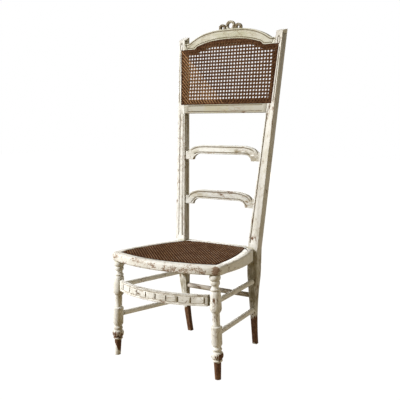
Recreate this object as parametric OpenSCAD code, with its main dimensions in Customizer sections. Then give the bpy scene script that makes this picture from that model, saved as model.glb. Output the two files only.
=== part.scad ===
// Tall-backed nursing chair: bowed cane seat, turned front legs, splayed and raked back posts
// with two arched slats and a caned panel under an arched crest rail with a carved bow.
// X runs across the chair, the front faces -Y and Z is up. The origin is on the floor, under
// the middle of the chair's own box. Lengths marked "leg line" are measured back from the line
// through the two front legs.

/* [Overall] */
// Height of the back posts at their rear top edge
post_height = 1220; // [1000:5:1480]
// Height of the top of the seat frame
seat_height = 392; // [320:1:470]
// Distance from the leg line to the front face of the back posts, at the seat
seat_depth = 334; // [270:1:400]

/* [Back posts] */
// Half the spacing of the back feet, centre to centre
foot_half = 154.5; // [130:0.5:190]
// Half the spacing of the back posts at the seat
waist_half = 168; // [145:0.5:205]
// Half the spacing of the back posts at the top
top_half = 224; // [190:0.5:270]
// Width of a back post at the seat
post_w = 44; // [36:0.5:54]
// Width of a back post at the top
post_top_w = 28; // [22:0.5:34]
// Depth of a back post, front to back
post_d = 36; // [28:0.5:44]
// How far the tops of the posts lean back from the seat
lean = 98.5; // [0:0.5:130]
// How far the fronts of the back feet kick back from the seat
kick = 47; // [0:0.5:75]
// Width of a back leg at the floor
foot_w = 20; // [16:0.5:33]
// Depth of a back leg at the floor, front to back
foot_d = 19; // [16:0.5:29]
// Distance from the seat's top down to where the back legs start to taper
taper_drop = 102; // [60:1:160]
// How much lower the post's top is at its front than at its back
top_fall = 22; // [0:1:40]

/* [Crest rail] */
// Height of the small ears that join the crest rail to the posts
ear_h = 25; // [20:0.5:32]
// Distance from the post top down to the underside of the ears
crest_drop = 57; // [50:1:75]
// Half the width over the crest's arch, at the ears' tops
arch_half = 187; // [160:1:200]
// Rise of the arch's top edge above the ears
arch_rise = 46; // [20:1:60]
// Half the width of the arch's underside
under_half = 147; // [120:1:155]
// Rise of the underside's step above the ears' undersides
under_step = 10; // [4:1:14]
// Rise of the underside's arch above that step
under_rise = 22; // [8:1:30]
// Depth of the crest rail, front to back
crest_d = 24; // [18:0.5:26]

/* [Carved bow] */
// Outer radius of the bow's middle loop
bow_loop_r = 20; // [14:0.5:24]
// Outer radius of the bow's two side loops
bow_side_r = 15; // [11:0.5:18]
// Width of the ribbon seen from the front
ribbon_w = 9; // [5:0.5:10]
// Depth of the bow, front to back
bow_d = 14; // [10:0.5:18]
// Distance from the bow's middle to the middle of a side loop
bow_reach = 36; // [30:0.5:42]

/* [Back panel] */
// Height of the caned panel at its sides, from the panel rail up to the ears
panel_h = 223; // [140:1:280]
// Height of the panel's bottom rail
panel_rail_h = 35; // [28:0.5:45]
// Depth of the panel's bottom rail, front to back
panel_rail_d = 22; // [16:0.5:25]
// Width of the ledge under the back cane, on the posts and on the panel's bottom rail
panel_ledge_w = 17.5; // [8:0.5:20]
// Width of the ledge under the back cane, below the crest rail
crest_ledge_w = 20; // [10:0.5:25]
// Depth of the panel's ledge behind the front faces of the posts
panel_ledge_drop = 4; // [3.5:0.25:6]

/* [Slats] */
// How far the lower slat's feet hang below an even division of the back
slat_lower_drop = 21; // [0:1:40]
// How far the upper slat's feet hang below an even division of the back
slat_upper_drop = 14; // [0:1:40]
// Height of a slat's ends
slat_end_h = 34; // [26:0.5:44]
// Height of a slat's middle
slat_mid_h = 35; // [20:0.5:42]
// Rise of a slat's middle above its feet
slat_rise = 23.5; // [12:0.5:30]
// Length of a slat's foot, along its underside
slat_foot_l = 38; // [22:1:50]
// Length of the underside's curve between a slat's foot and its flat middle
slat_curve_l = 30; // [20:1:50]
// Length of the top's curve between a slat's end and its flat middle
slat_shoulder_l = 75; // [40:1:85]
// Width of the square block at each end of a slat
slat_block_w = 10; // [4:0.5:16]
// How far the shoulders start below the tops of the end blocks
slat_notch = 10; // [0:0.5:16]
// Depth of a slat, front to back
slat_d = 15; // [10:0.5:18]

/* [Seat frame] */
// Half the width of the seat frame at its front corners
seat_front_half = 237; // [195:1:290]
// How far outside the middles of the back posts the seat frame's back corners lie
seat_back_out = 4; // [0:0.5:10]
// How far the front edge bows forward of its corners
seat_bow = 45; // [10:1:70]
// How far the front corners lie ahead of the leg line
corner_ahead = 19; // [15:1:25]
// Length of the round turn at each front corner
corner_turn = 20; // [8:1:30]
// How far the sides bulge outward
side_bulge = 16; // [0:1:20]
// Thickness of the seat frame at the front
frame_t = 31; // [28:0.5:40]
// Height of the side rails where they meet the back posts
side_rail_back_h = 49; // [42:0.5:60]
// Height of the seat's back rail
back_rail_h = 48; // [36:0.5:60]
// Width of the painted border between the front edge and the cane
front_border = 32; // [25:0.5:36]
// Width of the painted border between the side edge and the cane
side_border = 21; // [17:0.5:24]
// How far the seat frame's back edge lies behind the posts' front faces
seat_back_edge = 40; // [36:0.5:46]
// Width of the wooden ledge that carries the cane, all round
ledge_w = 15; // [10:0.5:18]
// Depth of the ledge below the top of the frame
ledge_drop = 3; // [2:0.25:4]

/* [Front legs] */
// Half the spacing of the front legs at the seat
leg_top_half = 208; // [180:1:235]
// Half the spacing of the front feet
leg_foot_half = 222; // [185:1:250]
// Radius of the rounded beads and of the barrel
bead_r = 19.5; // [17:0.25:22]
// Radius of the slim necks
neck_r = 12.8; // [11:0.1:14]
// Radius of the ball above the foot
ball_r = 21.5; // [19:0.25:24]
// Radius at the top of the bare foot
foot_top_r = 13; // [11:0.1:15]
// Radius at the floor
foot_r = 10.4; // [8:0.1:12]

/* [Stretchers] */
// Height of the middle of the bowed front stretcher
front_stretcher_z = 272; // [255:1:290]
// Height of the front stretcher board
front_stretcher_h = 38; // [28:0.5:42]
// Thickness of the front stretcher board
front_stretcher_t = 15; // [12:0.5:18]
// How far the front stretcher bows forward
stretcher_bow = 62; // [20:1:80]
// Height of the upper side stretchers at the front legs
upper_front_z = 267; // [255:1:290]
// Height of the upper side stretchers at the back legs
upper_back_z = 260.5; // [245:0.5:300]
// Height of the lower side stretchers at the front legs
lower_front_z = 157; // [135:1:170]
// Height of the lower side stretchers at the back legs
lower_back_z = 144.5; // [120:0.5:175]
// Radius of a side stretcher
side_stretcher_r = 9.5; // [8:0.25:11]
// Height of the back stretcher
back_stretcher_z = 201.5; // [185:0.5:225]
// Radius of the back stretcher
back_stretcher_r = 8; // [6:0.25:10]

/* [Cane and joints] */
// Thickness of the woven cane
cane_t = 2; // [1:0.25:3]
// Width of the binder cane laid over the edge of the weave
binder_w = 6; // [4:0.5:8]
// Thickness of the binder cane
binder_t = 1; // [0.5:0.25:1.5]
// Radius of the round tenons on the stretchers
tenon_r = 6; // [5:0.25:7]
// Radius of the round tenon at the top of a front leg
leg_tenon_r = 9; // [7:0.25:10]
// Length of the round tenon at the top of a front leg
leg_tenon_l = 20; // [12:1:24]
// Thickness of the flat tenons
flat_tenon_t = 7; // [5:0.5:8]
// Length of the flat tenons
flat_tenon_l = 11; // [8:0.5:14]
// Gap all round a tenon in its mortise
fit_gap = 0.15; // [0.05:0.05:0.3]

/* [Hidden] */

paint = "ivory";
cane_brown = "saddlebrown";
LEFT = -1;
RIGHT = 1;

// Steps along each curved edge
arc_steps = 14;
// Facets of the turned and drilled shapes
turned_fn = 64;
// Reach of the blocks that cut the pieces to shape
far = 700;
// Overshoot of a cut past the face that it opens
over = 2;

// The front legs stand ahead of the origin by half the depth of the chair's box
front_reach = max(stretcher_bow + front_stretcher_t/2, corner_ahead + seat_bow);
back_reach = seat_depth + lean + post_d;
leg_y = (front_reach - back_reach)/2;
waist_y = leg_y + seat_depth;

// Heights that follow from the driving sizes
ear_z = post_height - crest_drop;
panel_z = ear_z - panel_h;
panel_rail_z = panel_z - panel_rail_h;
slat_pitch = (panel_rail_z - seat_height)/3;
slat_lower_z = seat_height + slat_pitch - slat_lower_drop;
slat_upper_z = seat_height + 2*slat_pitch - slat_upper_drop;
leg_top_z = seat_height - frame_t;
ledge_z = seat_height - ledge_drop;

// Share of the way from low to high at z, and a blend between two values
function share(z, low, high) = (z - low)/(high - low);
function blend(a, b, t) = a + (b - a)*t;

// Centre, width, depth and front face of a back post at height z
kick_curve = 1.8;
taper_power = 2;
taper_z = seat_height - taper_drop;
function post_x(z) = z > seat_height
  ? blend(waist_half, top_half, share(z, seat_height, post_height))
  : blend(foot_half, waist_half, share(z, 0, seat_height));
function post_width(z) = z > seat_height
  ? blend(post_w, post_top_w, share(z, seat_height, post_height))
  : blend(foot_w, post_w, pow(min(z/taper_z, 1), taper_power));
function post_depth(z) = blend(foot_d, post_d, pow(min(z/taper_z, 1), taper_power));
function post_y(z) = z > seat_height
  ? waist_y + lean*share(z, seat_height, post_height)
  : waist_y + kick*pow(1 - z/seat_height, kick_curve);
function inner_x(z) = post_x(z) - post_width(z)/2;

// Points along an arc from a to b that bulges to the right of the way from a to b
function arc(a, b, bulge) =
  let (half = norm(b - a)/2, along = (b - a)/(2*half), out = [along[1], -along[0]])
  [for (i = [0:arc_steps])
    let (t = 2*i/arc_steps - 1)
    (a + b)/2 + along*half*t + out*bulge*(1 - t*t)];
function mirrored(points) = [for (i = [len(points) - 1:-1:0]) [-points[i][0], points[i][1]]];
function whole(half) = concat(half, mirrored(half));

// Seat outline in plan: the right half from the front middle round to the back. Each front
// corner turns from the end of the bow to the start of the side, round the point where they cross.
side_behind = 5;
side_start_y = leg_y + side_behind;
function bow_y(x, half, mid, bow) = mid + bow*pow(x/half, 2);
function front_curve(half, mid, bow) =
  [for (i = [0:arc_steps]) let (x = half*i/arc_steps) [x, bow_y(x, half, mid, bow)]];
corner_steps = 6;
function corner(a, cross, b) =
  [for (i = [1:corner_steps - 1])
    let (t = i/corner_steps) a*pow(1 - t, 2) + cross*2*t*(1 - t) + b*pow(t, 2)];
front_mid_y = leg_y - corner_ahead - seat_bow;
seat_back_half = waist_half + seat_back_out;
bow_half = seat_front_half - corner_turn;
bow_end = [bow_half, leg_y - corner_ahead];
side_start = [seat_front_half, side_start_y];
corner_cross = [seat_front_half, leg_y - corner_ahead + 2*seat_bow*corner_turn/bow_half];
seat_half_outline = concat(
  front_curve(bow_half, front_mid_y, seat_bow),
  corner(bow_end, corner_cross, side_start),
  arc(side_start, [seat_back_half, waist_y], side_bulge),
  [[seat_back_half, waist_y + seat_back_edge]]);
seat_outline = whole(seat_half_outline);

// Edge of the cane, moved inward by inset. Its front bows a little less than the frame, its
// front corners draw in and its back corners spread, and its back edge bulges between the posts.
cane_flatter = 5;
cane_bow = seat_bow - cane_flatter;
cane_front_draw = 8;
cane_back_spread = -12;
cane_back_bulge = 13;
cane_corner_back = 3;
function cane_half_outline(inset) =
  let (
    front_half = seat_front_half - side_border - cane_front_draw - inset,
    front_mid = front_mid_y + front_border + inset,
    back_half = seat_back_half - side_border + cane_back_spread - inset,
    back_y = waist_y - cane_corner_back - inset)
  concat(
    front_curve(front_half, front_mid, cane_bow),
    arc([front_half, front_mid + cane_bow], [back_half, back_y], side_bulge),
    [for (i = [arc_steps:-1:0])
      let (t = i/arc_steps) [back_half*t, back_y + cane_back_bulge*(1 - t*t)]]);
function cane_outline(inset) = whole(cane_half_outline(inset));

// A solid whose outline is drawn as seen from the front, running from y1 to y2
module front_view(y1, y2) {
  translate([0, y2, 0])
    rotate([90, 0, 0])
      linear_extrude(y2 - y1)
        children();
}

// A slab that leans with the posts: offset behind their front faces, and its depth
module leaning_slab(offset, depth) {
  rotate([90, 0, 90])
    translate([0, 0, -far/2])
      linear_extrude(far)
        polygon([
          [waist_y + offset, seat_height],
          [waist_y + offset + depth, seat_height],
          [post_y(post_height + far) + offset + depth, post_height + far],
          [post_y(post_height + far) + offset, post_height + far]]);
}

// A round rod from point a to point b
module rod(a, b, r) {
  d = b - a;
  translate(a)
    rotate([0, acos(d[2]/norm(d)), atan2(d[1], d[0])])
      cylinder(h = norm(d), r = r, $fn = turned_fn);
}

// A rod along the way from a to b that starts and ends at the given distances from a
module rod_part(a, b, from, to, r) {
  along = (b - a)/norm(b - a);
  rod(a + along*from, a + along*to, r);
}

// ---- Back posts ----

// A post with no mortises: its front outline crossed with its side outline
leg_levels = [for (i = [0:arc_steps]) seat_height*i/arc_steps];
post_levels = concat(leg_levels, [post_height]);
function reversed(list) = [for (i = [len(list) - 1:-1:0]) list[i]];
module post_blank(side) {
  front_top_z = post_height - top_fall;
  side_points = concat(
    [for (z = leg_levels) [post_y(z), z]],
    [[post_y(front_top_z), front_top_z]],
    [for (z = reversed(post_levels)) [post_y(z) + post_depth(z), z]]);
  front_points = concat(
    [for (z = post_levels) [side*inner_x(z), z]],
    [for (z = reversed(post_levels)) [side*(inner_x(z) + post_width(z)), z]]);
  intersection() {
    front_view(-far, far)
      polygon(front_points);
    rotate([90, 0, 90])
      translate([0, 0, -far/2])
        linear_extrude(far)
          polygon(side_points);
  }
}

// The space between the inner faces of the two posts, up past the top of the crest's arch
module between_posts() {
  inner = [for (z = concat(leg_levels, [post_height + arch_rise])) [inner_x(z), z]];
  front_view(-far, far)
    polygon(whole(inner));
}

// A back member: its front outline, cut to the posts' lean, between the posts
module back_member(offset, depth) {
  intersection() {
    front_view(-far, far)
      children();
    leaning_slab(offset, depth);
    between_posts();
  }
}

// A flat tenon that enters the inner face of each post: its middle at height z, its height,
// its distance behind the posts' front faces, and the gap added all round for its mortise
module post_tenons(z, h, behind, gap = 0) {
  for (side = [LEFT, RIGHT])
    translate([side*(inner_x(z) - over), post_y(z) + behind - flat_tenon_t/2 - gap, z - h/2 - gap])
      mirror([side < 0 ? 1 : 0, 0, 0])
        cube([flat_tenon_l + over + gap, flat_tenon_t + 2*gap, h + 2*gap]);
}

crest_tenon_h = 14;
panel_tenon_h = 22;
slat_tenon_h = 20;
seat_tenon_h = 26;
crest_tenon_y = crest_d/2;
panel_tenon_y = panel_rail_d/2;
slat_set_back = 5;
slat_tenon_y = slat_set_back + slat_d/2;
seat_tenon_y = 21;

module crest_tenons(gap = 0) {
  post_tenons(ear_z + ear_h/2, crest_tenon_h, crest_tenon_y, gap);
}

module panel_tenons(gap = 0) {
  post_tenons(panel_rail_z + panel_rail_h/2, panel_tenon_h, panel_tenon_y, gap);
}

module slat_tenons(z, gap = 0) {
  post_tenons(z + slat_end_h/2, slat_tenon_h, slat_tenon_y, gap);
}

module back_rail_tenons(gap = 0) {
  post_tenons(seat_height - ledge_drop - back_rail_h/2, seat_tenon_h, seat_tenon_y, gap);
}

// The tenon at the back of a side rail, which enters the front of the post
side_tenon_w = 8;
side_tenon_h = 28;
side_tenon_l = 10;
side_tenon_down = 12;
side_tenon_in = 14;
side_tenon_x = seat_back_half - side_tenon_in;
module side_rail_tenon(side, gap = 0) {
  translate([
    side*side_tenon_x - side_tenon_w/2 - gap,
    waist_y - over,
    seat_height - side_tenon_down - side_tenon_h - gap])
    cube([side_tenon_w + 2*gap, side_tenon_l + over + gap, side_tenon_h + 2*gap]);
}

module back_post(side) {
  color(paint)
    difference() {
      post_blank(side);
      crest_tenons(fit_gap);
      panel_tenons(fit_gap);
      slat_tenons(slat_upper_z, fit_gap);
      slat_tenons(slat_lower_z, fit_gap);
      back_rail_tenons(fit_gap);
      side_rail_tenon(side, fit_gap);
      panel_rebate();
      side_rod_tenons(side, upper_front_z, upper_back_z, fit_gap);
      side_rod_tenons(side, lower_front_z, lower_back_z, fit_gap);
      back_rod(tenon_r + fit_gap, back_tenon_reach + fit_gap);
    }
}

// ---- Crest rail with its carved bow ----

// Front view of the caned panel, drawn in by inset from the posts, the crest and the rail
module panel_outline(inset) {
  low = panel_z + inset;
  top = ear_z - inset;
  crest_edge = [for (p = crest_half_under) p - [0, inset]];
  polygon(whole(concat(
    [[inner_x(low) + panel_ledge_w - inset, low], [inner_x(top) + panel_ledge_w - inset, top]],
    [for (i = [len(crest_edge) - 1:-1:0]) crest_edge[i]])));
}

// The shallow rebate that the cane lies in, cut into the fronts of the posts, crest and rail
module panel_rebate() {
  intersection() {
    front_view(-far, far)
      panel_outline(0);
    leaning_slab(panel_ledge_drop - far, far);
  }
}

// Powers of the arch curves: the higher, the flatter the middle and the rounder the ends
top_power = 3;
under_power = 2.4;
function crest_top_z(x) = ear_z + ear_h + arch_rise*(1 - pow(abs(x)/arch_half, top_power));
function crest_under_z(x) = ear_z + under_step + under_rise*(1 - pow(abs(x)/under_half, under_power));
// Length of the hollow step between the ears and the arch's underside
step_l = 12;
crest_half_under = concat(
  [for (i = [0:arc_steps]) let (x = under_half*i/arc_steps) [x, crest_under_z(x)]],
  [[under_half + step_l/3, ear_z + under_step/3], [under_half + step_l, ear_z]]);
crest_half_top = concat(
  [[top_half, ear_z + ear_h]],
  [for (i = [arc_steps:-1:1]) let (x = arch_half*i/arc_steps) [x, crest_top_z(x)]]);
crest_half_back = [for (p = crest_half_under) p - [0, crest_ledge_w]];
crest_half = concat(crest_half_back, [[top_half, ear_z - crest_ledge_w]], crest_half_top);

// One loop of the bow: a ring that stands on the crest's top edge
module bow_loop(x, z, r) {
  difference() {
    translate([x, post_y(z) + crest_d/2 - bow_d/2, z])
      rotate([-90, 0, 0])
        cylinder(h = bow_d, r = r, $fn = turned_fn);
    translate([x, post_y(z) + crest_d/2 - bow_d/2 - over, z])
      rotate([-90, 0, 0])
        cylinder(h = bow_d + 2*over, r = r - ribbon_w, $fn = turned_fn);
  }
}

// How far the loops' middles stand above the arch, as shares of their radii
middle_loop_lift = 0.68;
side_loop_lift = 0.45;
module crest_rail() {
  bow_z = crest_top_z(0) + bow_loop_r*middle_loop_lift;
  side_z = crest_top_z(bow_reach) + bow_side_r*side_loop_lift;
  color(paint) {
    difference() {
      back_member(0, crest_d)
        polygon(whole(crest_half));
      panel_rebate();
    }
    crest_tenons();
    difference() {
      union() {
        bow_loop(0, bow_z, bow_loop_r);
        bow_loop(-bow_reach, side_z, bow_side_r);
        bow_loop(bow_reach, side_z, bow_side_r);
      }
      translate([0, 0, crest_top_z(0) - far - ribbon_w/2])
        cube([far, far*2, far*2], center = true);
    }
  }
}

// ---- Panel rail and slats ----

module panel_rail() {
  color(paint) {
    difference() {
      back_member(0, panel_rail_d)
        translate([-top_half, panel_rail_z])
          square([2*top_half, panel_rail_h + panel_ledge_w]);
      panel_rebate();
    }
    panel_tenons();
  }
}

// A slat whose feet stand at z: its flat middle turns down in round shoulders to its two ends
module slat(z) {
  half = inner_x(z);
  foot_x = half - slat_foot_l;
  block_x = half - slat_block_w;
  shoulder_h = slat_end_h - slat_notch;
  under = [for (i = [0:arc_steps])
    let (a = 90*i/arc_steps)
    [foot_x - slat_curve_l*(1 - sin(a)), z + slat_rise*cos(a)]];
  upper = [for (i = [arc_steps:-1:0])
    let (a = 90*i/arc_steps)
    [block_x - slat_shoulder_l*(1 - sin(a)),
      z + shoulder_h + (slat_rise + slat_mid_h - shoulder_h)*cos(a)]];
  block_end = half + slat_foot_l/2;
  block_top = z + slat_end_h;
  outline = concat(under, [[block_end, z], [block_end, block_top], [block_x, block_top]], upper);
  color(paint) {
    back_member(slat_set_back, slat_d)
      polygon(whole(outline));
    slat_tenons(z);
  }
}

// ---- Seat frame ----

// How far behind the leg line the front rail ends, and how far inside the posts the back rail ends
front_joint_back = 40;
side_joint_in = 5;
front_joint_y = leg_y + front_joint_back;
side_joint_x = inner_x(seat_height) - side_joint_in;
// The side rails run on to meet the posts' fronts where these lean back under the seat
rail_overrun = 6;

// The seat frame as one board of the given height, with its opening and its cane ledge
module seat_board(h) {
  difference() {
    translate([0, 0, seat_height - h])
      linear_extrude(h)
        polygon(seat_outline);
    translate([0, 0, seat_height - h - over])
      linear_extrude(h + 2*over)
        polygon(cane_outline(ledge_w));
    translate([0, 0, ledge_z])
      linear_extrude(ledge_drop + over)
        polygon(cane_outline(0));
  }
}

module block(x1, x2, y1, y2) {
  translate([x1, y1, -far])
    cube([x2 - x1, y2 - y1, 3*far]);
}

// The tenon at the front of a side rail, which enters the back of the front rail's corner
corner_tenon_l = 16;
corner_tenon_h = 14;
corner_tenon_up = 7;
corner_tenon_in = 4;
corner_tenon_x = seat_front_half - side_border - corner_tenon_in;
module corner_tenon(side, gap = 0) {
  translate([
    side*corner_tenon_x - flat_tenon_t/2 - gap,
    front_joint_y - corner_tenon_l - gap,
    leg_top_z + corner_tenon_up - gap])
    cube([flat_tenon_t + 2*gap, corner_tenon_l + over + gap, corner_tenon_h + 2*gap]);
}

module seat_rail_front() {
  color(paint)
    difference() {
      intersection() {
        seat_board(frame_t);
        block(-far, far, -far, front_joint_y);
      }
      corner_tenon(LEFT, fit_gap);
      corner_tenon(RIGHT, fit_gap);
      leg_tenon(LEFT, fit_gap);
      leg_tenon(RIGHT, fit_gap);
    }
}

// A side rail grows deeper towards the back, so its underside falls to the post
module seat_rail_side(side) {
  color(paint) {
    difference() {
      intersection() {
        seat_board(side_rail_back_h);
        block(side > 0 ? side_joint_x : -far, side > 0 ? far : -side_joint_x,
          front_joint_y, waist_y + rail_overrun);
        rotate([90, 0, 90])
          translate([0, 0, -far/2])
            linear_extrude(far)
              polygon([
                [front_joint_y, leg_top_z],
                [waist_y + rail_overrun, seat_height - side_rail_back_h],
                [waist_y + rail_overrun, seat_height],
                [front_joint_y, seat_height]]);
      }
      post_blank(side);
    }
    corner_tenon(side);
    side_rail_tenon(side);
  }
}

module seat_rail_back() {
  color(paint) {
    intersection() {
      difference() {
        seat_board(back_rail_h);
        block(-far, far, -far, waist_y - seat_depth/4);
        block(-far, -side_joint_x, -far, waist_y + rail_overrun);
        block(side_joint_x, far, -far, waist_y + rail_overrun);
      }
      between_posts();
    }
    back_rail_tenons();
  }
}

// ---- Front legs ----

// Turned members, each given as points of the profile from z1 up to z2
function bead(z1, z2, core, r) =
  [for (i = [0:8]) let (a = 180*i/8) [core + (r - core)*sin(a), (z1 + z2)/2 - (z2 - z1)/2*cos(a)]];
function cove(z1, z2, r1, r2) =
  [for (i = [0:6]) let (a = 90*i/6) [r1 + (r2 - r1)*(1 - cos(a)), z1 + (z2 - z1)*sin(a)]];

// Radii of the rings and of the grooves between them, and the small step of a rounded shoulder
ring_r = bead_r - 2.5;
groove_r = neck_r + 1.5;
shoulder = 1;
// Heights of the turned members above the floor, from the foot up
foot_tip_z = 8;
foot_z = 61;
low_ring_z = 71;
ball_z = 97;
ball_top_z = 100;
mid_ring_z = 110;
collar_z = 118;
collar_top_z = 184;
neck_z = 190;
barrel_z = 233;
barrel_top_z = 305;
ring_top_z = 313;
waist_z = 321;
// Distances below the top of the leg
upper_bead_z = leg_top_z - 35;
upper_bead_top_z = leg_top_z - 22;
top_bead_z = leg_top_z - 20;
// How far the profile runs below the floor, which cuts the splayed foot level
sunk = 6;
// Height over which the collar and the barrel swell from the groove below them
swell = 4;
leg_profile = concat(
  [[0, -sunk], [foot_r, -sunk], [foot_r + shoulder/2, foot_tip_z], [foot_top_r, foot_z]],
  bead(foot_z, low_ring_z, foot_top_r, ring_r + shoulder),
  bead(low_ring_z, ball_z, groove_r, ball_r),
  bead(ball_top_z, mid_ring_z, groove_r, ring_r),
  [[groove_r, collar_z - swell], [bead_r - shoulder, collar_z + swell],
    [bead_r - shoulder, collar_top_z - 2*swell], [bead_r, collar_top_z - swell],
    [bead_r, collar_top_z - shoulder], [neck_r, neck_z - swell]],
  [[neck_r, barrel_z - swell], [bead_r - shoulder, barrel_z + swell],
    [bead_r + shoulder, barrel_z + 3*swell], [ring_r + shoulder, barrel_top_z - swell],
    [groove_r, barrel_top_z]],
  bead(barrel_top_z + shoulder, ring_top_z, groove_r, ring_r),
  [[neck_r - shoulder, waist_z]],
  bead(upper_bead_z, upper_bead_top_z, groove_r, bead_r - 3*shoulder),
  bead(top_bead_z, leg_top_z, groove_r, bead_r),
  [[0, leg_top_z]]);

// Where the axis of a front leg passes at height z
function leg_x(z) = blend(leg_foot_half, leg_top_half, z/leg_top_z);
leg_splay = atan((leg_foot_half - leg_top_half)/leg_top_z);

module on_leg(side) {
  translate([side*leg_foot_half, leg_y, 0])
    rotate([0, -side*leg_splay, 0])
      children();
}

module leg_tenon(side, gap = 0) {
  on_leg(side)
    translate([0, 0, leg_top_z - over])
      cylinder(h = leg_tenon_l + over + gap, r = leg_tenon_r + gap, $fn = turned_fn);
}

module front_leg(side) {
  color(paint)
    difference() {
      union() {
        on_leg(side)
          rotate_extrude($fn = turned_fn)
            polygon(leg_profile);
        leg_tenon(side);
      }
      translate([-far, -far, -far])
        cube([2*far, 2*far, far]);
      difference() {
        translate([-far, -far, leg_top_z])
          cube([2*far, 2*far, far]);
        leg_tenon(side, fit_gap);
      }
      board_tenons(fit_gap);
      side_rod_tenons(side, upper_front_z, upper_back_z, fit_gap);
      side_rod_tenons(side, lower_front_z, lower_back_z, fit_gap);
    }
}

// ---- Stretchers ----

// The bowed board's middle line follows the seat's bow, from leg to leg
board_half = leg_x(front_stretcher_z);
board_tenon_l = 9;
board_tenon_h = 24;
board_clear = 1;
board_reach = bead_r + board_clear;
function board_y(x) = leg_y - stretcher_bow*(1 - pow(x/board_half, 2));

module board_plan(from, to, t) {
  points = [for (i = [0:2*arc_steps]) let (x = blend(from, to, i/(2*arc_steps))) [x, board_y(x)]];
  front = [for (p = points) p - [0, t/2]];
  back = [for (i = [len(points) - 1:-1:0]) points[i] + [0, t/2]];
  polygon(concat(front, back));
}

// The square ends of the front stretcher inside the legs' mortises
module board_tenons(gap = 0) {
  for (side = [LEFT, RIGHT])
    translate([
      side*(board_half - board_reach/2 - board_tenon_l/2) - board_tenon_l/2 - board_reach/2 - gap,
      board_y(board_half - board_reach/2) - flat_tenon_t/2 - gap,
      front_stretcher_z - board_tenon_h/2 - gap])
      cube([board_tenon_l + board_reach + 2*gap, flat_tenon_t + 2*gap, board_tenon_h + 2*gap]);
}

// Row of tablets carved in the front face, parted by narrow upright slots
slot_count = 9;
slot_w = 4;
slot_h = 18;
slot_depth = 3;
slot_pitch = 43;
// The row stands a little to the chair's right of its middle
slot_shift = 9;
module board_slots() {
  for (i = [0:slot_count - 1]) {
    x = slot_shift + slot_pitch*(i - (slot_count - 1)/2);
    translate([x - slot_w/2, board_y(x) - front_stretcher_t/2 - over, front_stretcher_z - slot_h/2])
      cube([slot_w, slot_depth + over, slot_h]);
  }
}

module front_stretcher() {
  color(paint) {
    difference() {
      translate([0, 0, front_stretcher_z - front_stretcher_h/2])
        linear_extrude(front_stretcher_h)
          board_plan(-(board_half - board_reach), board_half - board_reach, front_stretcher_t);
      board_slots();
    }
    board_tenons();
  }
}

// Axis ends of a side stretcher: the front leg's axis and the middle of the back leg
function rod_front(side, z) = [side*leg_x(z), leg_y, z];
function rod_back(side, z) = [side*post_x(z), post_y(z) + post_depth(z)/2, z];
// Distances along a stretcher from the legs' axes to its ends and to the ends of its tenons
rod_gap = 2;
rod_clear = bead_r + rod_gap;
rod_end_gap = 3;
function rod_end_clear(z) = post_depth(z)/2 + rod_end_gap;
tenon_start = 7;
tenon_end = 5;

module side_rod_tenons(side, z1, z2, gap = 0) {
  a = rod_front(side, z1);
  b = rod_back(side, z2);
  reach = norm(b - a);
  rod_part(a, b, tenon_start - gap, rod_clear + over, tenon_r + gap);
  rod_part(a, b, reach - rod_end_clear(z2) - over, reach - tenon_end + gap, tenon_r + gap);
}

module side_stretcher(side, z1, z2) {
  a = rod_front(side, z1);
  b = rod_back(side, z2);
  color(paint) {
    rod_part(a, b, rod_clear, norm(b - a) - rod_end_clear(z2), side_stretcher_r);
    side_rod_tenons(side, z1, z2);
  }
}

module upper_side_stretcher(side) {
  side_stretcher(side, upper_front_z, upper_back_z);
}

module lower_side_stretcher(side) {
  side_stretcher(side, lower_front_z, lower_back_z);
}

// The back stretcher stops just short of the posts' inner faces, and its tenons pass their middles
back_rod_gap = 0.5;
back_rod_reach = min(
  inner_x(back_stretcher_z - back_stretcher_r),
  inner_x(back_stretcher_z + back_stretcher_r)) - back_rod_gap;
back_tenon_past = 3;
back_tenon_reach = post_x(back_stretcher_z) + back_tenon_past;
module back_rod(r, reach) {
  y = post_y(back_stretcher_z) + post_depth(back_stretcher_z)/2;
  rod([-reach, y, back_stretcher_z], [reach, y, back_stretcher_z], r);
}

module back_stretcher() {
  color(paint) {
    back_rod(back_stretcher_r, back_rod_reach);
    back_rod(tenon_r, back_tenon_reach);
  }
}

// ---- Cane ----

module seat_cane() {
  color(cane_brown)
    translate([0, 0, ledge_z])
      linear_extrude(cane_t)
        polygon(cane_outline(fit_gap));
}

module seat_cane_binder() {
  color(cane_brown)
    translate([0, 0, ledge_z + cane_t])
      linear_extrude(binder_t)
        difference() {
          polygon(cane_outline(fit_gap));
          polygon(cane_outline(binder_w));
        }
}

// Part of a sheet on the panel's ledge: how far in front of the ledge it starts, and its depth
module panel_sheet(ahead, depth) {
  intersection() {
    front_view(-far, far)
      children();
    leaning_slab(panel_ledge_drop - ahead, depth);
  }
}

module back_cane() {
  color(cane_brown)
    panel_sheet(cane_t, cane_t)
      panel_outline(fit_gap);
}

module back_cane_binder() {
  color(cane_brown)
    panel_sheet(cane_t + binder_t, binder_t)
      difference() {
        panel_outline(fit_gap);
        panel_outline(binder_w);
      }
}

back_post(LEFT);  // back_post_left
back_post(RIGHT);  // back_post_right
crest_rail();
panel_rail();
slat(slat_upper_z);  // slat_upper
slat(slat_lower_z);  // slat_lower
seat_rail_front();
seat_rail_back();
seat_rail_side(LEFT);  // seat_rail_left
seat_rail_side(RIGHT);  // seat_rail_right
front_leg(LEFT);  // front_leg_left
front_leg(RIGHT);  // front_leg_right
front_stretcher();
upper_side_stretcher(LEFT);  // side_stretcher_upper_left
upper_side_stretcher(RIGHT);  // side_stretcher_upper_right
lower_side_stretcher(LEFT);  // side_stretcher_lower_left
lower_side_stretcher(RIGHT);  // side_stretcher_lower_right
back_stretcher();
seat_cane();
seat_cane_binder();
back_cane();
back_cane_binder();
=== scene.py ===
import math
import bmesh
import bpy
from mathutils import Matrix, Vector


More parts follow.
